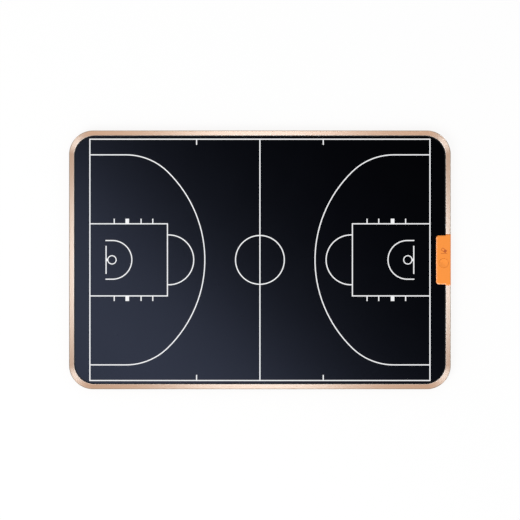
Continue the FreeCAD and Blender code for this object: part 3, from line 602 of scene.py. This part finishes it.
# %% [markdown]
# ## Plastics and rubber
# The module's shells, its button and the cell's tray are orange ABS from a spark-eroded mould, which
# gives a fine satin grain. The lock slider is grey ABS from the same kind of mould. The gasket, tape,
# back sheet and feet are black, and differ in how coarse and how dull they are.

# %% Moulded ABS and its ink
def spark_textured_orange_abs():
    """Satin orange: a strong even colour with a faint broken shine."""
    # The real grain is about 0.1 mm. It is drawn coarser, so that it shows.
    return grained_finish("spark_textured_abs_orange", "FA8F2C", "FD9632", grain=0.3 * MM,
                          depth=0.006 * MM, smooth=0.38, rough=0.48)


def pad_printed_sign_ink():
    """A thin darker orange ink, flatter than the shell around it."""
    return grained_finish("pad_printed_ink_dark_orange", "B8560F", "C25C12", grain=0.4 * MM,
                          depth=0.002 * MM, smooth=0.5, rough=0.6)


def spark_textured_grey_abs():
    """Dark grey satin plastic with the same mould grain."""
    return grained_finish("spark_textured_abs_dark_grey", "2C2E31", "34373A", grain=0.3 * MM,
                          depth=0.008 * MM, smooth=0.42, rough=0.55)


print("moulded plastics ready")


# %% Rubber, tape and back sheet
def closed_cell_foam_rubber():
    """Dull black strip with cells of about 0.3 mm."""
    return grained_finish("closed_cell_foam_rubber", "08080A", "111113", grain=0.3 * MM,
                          depth=0.03 * MM, smooth=0.8, rough=0.95)


def acrylic_foam_tape():
    """Black tape, smoother than foam rubber, with a slight tack shine."""
    return grained_finish("acrylic_foam_tape", "0E0E10", "161618", grain=0.5 * MM,
                          depth=0.01 * MM, smooth=0.55, rough=0.7)


def grained_back_sheet():
    """Black sheet, embossed with a leather grain of about 1 mm that breaks up its shine."""
    return grained_finish("embossed_polypropylene_sheet", "101113", "1B1C1F", grain=1.0 * MM,
                          depth=0.05 * MM, smooth=0.45, rough=0.65)


def moulded_black_rubber():
    """Matt rubber with the faint bloom that rubs off on fingers."""
    return grained_finish("moulded_black_rubber", "141415", "202022", grain=0.5 * MM,
                          depth=0.02 * MM, smooth=0.7, rough=0.9)


print("black sheets and rubbers ready")

# %% [markdown]
# ## Inside the module and behind the film
# These pieces hardly show, but each still gets its own material, so that the open tray or a board taken
# apart looks right: zinc flowers on the steel sheet, cells in the paper core, tinned ends on the
# capacitors, and copper tracks in the film's lead.

# %% Resins and ferrite
def moulded_black_resin():
    """The dull black of chip and switch housings."""
    return grained_finish("moulded_black_resin", "121214", "1C1C1F", grain=0.2 * MM,
                          depth=0.01 * MM, smooth=0.5, rough=0.65)


def moulded_ivory_resin():
    """The off-white nylon of a connector."""
    return grained_finish("moulded_ivory_nylon", "DDD5C0", "E9E2CF", grain=0.3 * MM,
                          depth=0.005 * MM, smooth=0.45, rough=0.6)


def pressed_ferrite():
    """Dark grey sintered powder with a metallic grain."""
    return grained_finish("pressed_ferrite", "2A2A2C", "454548", grain=0.15 * MM,
                          depth=0.01 * MM, smooth=0.55, rough=0.75)


print("resins and ferrite ready")


# %% Steel and brass
def stamped_steel():
    """Bare switch parts with a dull rolled shine."""
    return grained_finish("stamped_steel", "9A9C9E", "B4B6B8", grain=0.4 * MM,
                          depth=0.002 * MM, smooth=0.3, rough=0.4, Metallic=1.0)


def nickel_plated_steel():
    """The cell's bright can, with faint handling haze."""
    return grained_finish("nickel_plated_steel", "B9B8B3", "CFCEC9", grain=2.0 * MM,
                          depth=0.002 * MM, smooth=0.2, rough=0.32, Metallic=1.0)


def rolled_spring_brass():
    """Yellow contact strip with a rolled grain."""
    return grained_finish("rolled_spring_brass", "B08D45", "C6A356", grain=0.3 * MM,
                          depth=0.002 * MM, smooth=0.28, rough=0.4, Metallic=1.0)


def zinc_plated_steel():
    """Bluish bright screws."""
    return grained_finish("zinc_plated_steel", "A4A9AE", "C0C5CA", grain=0.5 * MM,
                          depth=0.002 * MM, smooth=0.25, rough=0.38, Metallic=1.0)


print("metals ready")

# %% Sheet steel and paper core
ZINC_FLOWER = 8 * MM
PAPER_CELL = 6 * MM
# The paper walls take up this share of a cell.
PAPER_WALL = 0.12


def galvanised_sheet_steel():
    """Hot-dipped zinc, whose crystals of about 8 mm each lie at their own angle to the light."""
    material, tree = new_finish("galvanised_sheet_steel")
    place = add_node(tree, "ShaderNodeTexCoord").outputs["Object"]
    flowers = add_node(tree, "ShaderNodeTexVoronoi", {"Vector": place, "Scale": 1 / ZINC_FLOWER})
    tone = add_node(tree, "ShaderNodeRGBToBW", {0: flowers.outputs["Color"]})
    colour = add_node(tree, "ShaderNodeMix", {
        MIX_SHARE: tone.outputs[0], MIX_FIRST: to_linear("9DA1A4"),
        MIX_SECOND: to_linear("C3C7C9")}, data_type="RGBA")
    gloss = add_node(tree, "ShaderNodeMapRange", {"Value": tone.outputs[0], "To Min": 0.28,
                                                  "To Max": 0.5})
    shader = add_node(tree, "ShaderNodeBsdfPrincipled", {
        "Base Color": colour.outputs[MIX_RESULT], "Metallic": 1.0, "Roughness": gloss.outputs[0]})
    add_node(tree, "ShaderNodeOutputMaterial", {"Surface": shader.outputs[0]})
    return material


def paper_honeycomb_board():
    """Brown board whose cells of about 6 mm show as hollows between paper walls, with their shade
    painted darker.
    """
    material, tree = new_finish("paper_honeycomb_board")
    place = add_node(tree, "ShaderNodeTexCoord").outputs["Object"]
    cells = add_node(tree, "ShaderNodeTexVoronoi", {"Vector": place, "Scale": 1 / PAPER_CELL},
                     feature="DISTANCE_TO_EDGE")
    hollow = add_node(tree, "ShaderNodeMapRange", {"Value": cells.outputs["Distance"],
                                                   "From Max": PAPER_WALL})
    # The insides of the cells are painted darker, as shade in the hollows. The paper walls keep the
    # light tone.
    colour = add_node(tree, "ShaderNodeMix", {
        MIX_SHARE: hollow.outputs[0], MIX_FIRST: to_linear("C9A978"),
        MIX_SECOND: to_linear("8E6E44")}, data_type="RGBA")
    relief = add_node(tree, "ShaderNodeBump", {"Height": hollow.outputs[0], "Distance": 0.3 * MM},
                      invert=True)
    shader = add_node(tree, "ShaderNodeBsdfPrincipled", {
        "Base Color": colour.outputs[MIX_RESULT], "Roughness": 0.85, "Normal": relief.outputs[0]})
    add_node(tree, "ShaderNodeOutputMaterial", {"Surface": shader.outputs[0]})
    return material


print("zinc flowers and paper cells in mm:", ZINC_FLOWER / MM, PAPER_CELL / MM)

# %% Laminate, capacitors and lead
GLASS_THREAD = 0.5 * MM
# The tin starts at this share of a capacitor's length from its middle.
TINNED_FROM = 1 / 3.4
TRACK_SPACING = 1.0 * MM
# A wave texture with a scale of 1 repeats after this length.
WAVE_REPEAT = 0.314


def solder_masked_laminate():
    """Green lacquer over glass cloth, whose threads of about 0.5 mm show through as a faint grid."""
    material, tree = new_finish("solder_masked_glass_laminate")
    place = add_node(tree, "ShaderNodeTexCoord").outputs["Object"]
    threads = add_node(tree, "ShaderNodeTexChecker", {"Vector": place, "Scale": 1 / GLASS_THREAD})
    colour = add_node(tree, "ShaderNodeMix", {
        MIX_SHARE: threads.outputs["Fac"], MIX_FIRST: to_linear("0D4A2A"),
        MIX_SECOND: to_linear("115632")}, data_type="RGBA")
    shader = add_node(tree, "ShaderNodeBsdfPrincipled", {
        "Base Color": colour.outputs[MIX_RESULT], "Roughness": 0.3, "Coat Weight": 0.4})
    add_node(tree, "ShaderNodeOutputMaterial", {"Surface": shader.outputs[0]})
    return material


def tinned_ceramic():
    """Tan ceramic capacitors, tinned at both ends."""
    material, tree = new_finish("tinned_fired_ceramic")
    low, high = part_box("capacitors")
    place = add_node(tree, "ShaderNodeTexCoord").outputs["Object"]
    axes = add_node(tree, "ShaderNodeSeparateXYZ", {0: place})
    middle = add_node(tree, "ShaderNodeMath", {0: axes.outputs["X"], 1: (low.x + high.x) / 2},
                      operation="SUBTRACT")
    middle = add_node(tree, "ShaderNodeMath", {0: middle.outputs[0]}, operation="ABSOLUTE")
    tinned = add_node(tree, "ShaderNodeMath", {0: middle.outputs[0], 1: (high.x - low.x) * TINNED_FROM},
                      operation="GREATER_THAN")
    colour = add_node(tree, "ShaderNodeMix", {
        MIX_SHARE: tinned.outputs[0], MIX_FIRST: to_linear("A98A68"),
        MIX_SECOND: to_linear("C9CBCC")}, data_type="RGBA")
    shader = add_node(tree, "ShaderNodeBsdfPrincipled", {
        "Base Color": colour.outputs[MIX_RESULT], "Metallic": tinned.outputs[0], "Roughness": 0.4})
    add_node(tree, "ShaderNodeOutputMaterial", {"Surface": shader.outputs[0]})
    return material


def amber_lead_film():
    """Clear brown polyimide over copper tracks at 1 mm spacing."""
    material, tree = new_finish("amber_polyimide_film")
    place = add_node(tree, "ShaderNodeTexCoord").outputs["Object"]
    tracks = add_node(tree, "ShaderNodeTexWave", {
        "Vector": place, "Scale": WAVE_REPEAT / TRACK_SPACING}, bands_direction="Y")
    colour = add_node(tree, "ShaderNodeMix", {
        MIX_SHARE: tracks.outputs["Fac"], MIX_FIRST: to_linear("8A4E12"),
        MIX_SECOND: to_linear("C98A3A")}, data_type="RGBA")
    shader = add_node(tree, "ShaderNodeBsdfPrincipled", {
        "Base Color": colour.outputs[MIX_RESULT], "Roughness": 0.25, "Coat Weight": 0.5})
    add_node(tree, "ShaderNodeOutputMaterial", {"Surface": shader.outputs[0]})
    return material


print("glass threads and copper tracks in mm:", GLASS_THREAD / MM, TRACK_SPACING / MM)

# %% [markdown]
# ## Dressing the solids
# Each solid names the material slot that it was made for, so one table from slot to finish dresses them
# all. The finish goes into the slots that the solid already has, and its mesh stays as it came.

# %% Finish for every solid
finishes = {
    "black_foam_rubber": closed_cell_foam_rubber(),
    "white_ink": screen_printed_white_ink(),
    "dark_film": hard_coated_writing_film(),
    "black_foam_tape": acrylic_foam_tape(),
    "galvanised_steel": galvanised_sheet_steel(),
    "honeycomb_board": paper_honeycomb_board(),
    "black_sheet": grained_back_sheet(),
    "orange_abs": spark_textured_orange_abs(),
    "black_resin": moulded_black_resin(),
    "green_laminate": solder_masked_laminate(),
    "ferrite": pressed_ferrite(),
    "ceramic_chip": tinned_ceramic(),
    "ivory_resin": moulded_ivory_resin(),
    "amber_film": amber_lead_film(),
    "dark_grey_abs": spark_textured_grey_abs(),
    "pressed_steel": stamped_steel(),
    "nickel_steel": nickel_plated_steel(),
    "spring_brass": rolled_spring_brass(),
    "zinc_steel": zinc_plated_steel(),
    "black_rubber": moulded_black_rubber(),
    "rose_gold_aluminium": frame_rail.data.materials[0],
}
for part in frame["record"]["subparts"]:
    for slot in nodes[part["node"]].material_slots:
        slot.material = finishes[part["material_slot"]]
erase_sign.data.materials.append(pad_printed_sign_ink())
print("finishes:", len(finishes))

# %% [markdown]
# ## Lamps
# A product photograph is lit piece by piece, with cards that shield each light from the rest. Light
# linking does the same here. The key lamp is a large soft one at the lower left, kept off the frame and
# the module's top, which has its own low lamp from the front, so that its rim and button show. The
# other lamps only make reflections: a cool softbox for the dark film, whose sheen fades across the
# board, and two lamps above the brushed frame, one over its middle and one for its long rails. Low
# strips stand around the board, under the level of the faces that they must not reach: four for the
# outer walls of the frame, and two for the front and inner rims of the module.

# %% Lamp helpers
def soft_lamp(name, place, target, length, width, power, colour):
    """A soft lamp that faces a point."""
    bpy.ops.object.select_all(action="DESELECT")
    bpy.ops.object.light_add(type="AREA", location=place)
    lamp = bpy.context.object
    lamp.name = name
    lamp.data.shape = "RECTANGLE"
    lamp.data.size = length
    lamp.data.size_y = width
    lamp.data.energy = power
    lamp.data.color = colour
    lamp.visible_camera = False
    aim = [b - a for a, b in zip(place, target)]
    lamp.rotation_euler = Vector(aim).to_track_quat("-Z", "Y").to_euler()
    return lamp


def link_lamp(lamp, state, *pieces):
    """Lets a lamp light some pieces only, or all but those pieces."""
    group = bpy.data.collections.new(lamp.name + "_link")
    for piece in pieces:
        group.objects.link(piece)
    for linked in group.collection_objects:
        linked.light_linking.link_state = state
    lamp.light_linking.receiver_collection = group


def gloss_lamp(name, place, target, length, width, power, colour, piece):
    """A lamp that shows only as a reflection on one piece, and adds no other light to it."""
    lamp = soft_lamp(name, place, target, length, width, power, colour)
    lamp.visible_diffuse = False
    link_lamp(lamp, "INCLUDE", piece)
    return lamp


def low_strip(name, place, target, bottom, top, length, power, colour, piece):
    """A level strip that shows only in the sides of one piece, whatever stands between the two."""
    middle = (bottom + top) / 2
    lamp = gloss_lamp(name, (*place, middle), (*target, middle), length, top - bottom, power, colour,
                      piece)
    lamp.light_linking.blocker_collection = lamp.light_linking.receiver_collection
    return lamp


print("lamp helpers ready")

# %% Soft light on the board and the module
WHITE = (1.0, 1.0, 1.0)
BOARD_PLACE = (0.0, 0.0)
MODULE_PLACE = (0.216, 0.0)
module_top = (nodes["module_cover"], nodes["erase_button"], erase_sign)
key_lamp = soft_lamp("key_lamp", place=(-1.3, -1.3, 1.9), target=(*BOARD_PLACE, 0), length=1.4,
                     width=1.4, power=24.0, colour=WHITE)
link_lamp(key_lamp, "EXCLUDE", frame_rail, *module_top)
module_lamp = soft_lamp("module_lamp", place=(-0.54, -1.0, 0.5), target=(*MODULE_PLACE, 0), length=0.7,
                        width=0.7, power=12.0, colour=WHITE)
link_lamp(module_lamp, "INCLUDE", *module_top)
print("soft lamps:", key_lamp.name, module_lamp.name)

# %% Reflections on the film and the frame
SOFTBOX_PLACE = (-0.283, -0.283)
SOFTBOX_TURN = math.radians(-45)
COOL_WHITE = (0.545, 0.647, 1.0)
OXIDE_SHEEN = (0.42, 0.69, 1.0)
FRAME_LAMP_PLACE = (0.0, -0.014)
softbox = gloss_lamp("film_softbox", place=(*SOFTBOX_PLACE, 1.5), target=(*SOFTBOX_PLACE, 0),
                     length=1.6, width=0.5, power=335.0, colour=COOL_WHITE, piece=nodes["writing_film"])
softbox.rotation_euler.z = SOFTBOX_TURN
gloss_lamp("frame_lamp", place=(*FRAME_LAMP_PLACE, 1.2), target=(*FRAME_LAMP_PLACE, 0), length=0.31,
           width=0.27, power=4.8, colour=OXIDE_SHEEN, piece=frame_rail)
gloss_lamp("rail_lamp", place=(0, 0.8, 1.2), target=(*BOARD_PLACE, 0), length=1.1, width=0.1, power=3.0,
           colour=WHITE, piece=frame_rail)
for name, place, power in (("front_wall_strip", (0.0, -1.2), 1.5),
                           ("end_wall_strip", (1.2, 0.0), 1.5),
                           ("front_left_wall_strip", (-0.85, -0.85), 2.5),
                           ("back_right_wall_strip", (0.85, 0.85), 2.5)):
    low_strip(name, place, BOARD_PLACE, frame_low.z, frame_high.z, length=0.4, power=power,
              colour=OXIDE_SHEEN, piece=frame_rail)
print("frame lamps aim at:", FRAME_LAMP_PLACE, "and the rails and walls around it")

# %% Reflections on the module's rims
RIM_STRIP_HEIGHT = 6.0 * MM
RIM_STRIP_DROP = 0.5 * MM
rim_strip_top = cover_top - RIM_STRIP_DROP
for name, place, power in (("front_rim_strip", (0.0, -1.15), 50.0),
                           ("inner_rim_strip", (-0.93, 0.0), 24.0)):
    low_strip(name, place, MODULE_PLACE, rim_strip_top - RIM_STRIP_HEIGHT, rim_strip_top, length=0.9,
              power=power, colour=WHITE, piece=nodes["module_cover"])
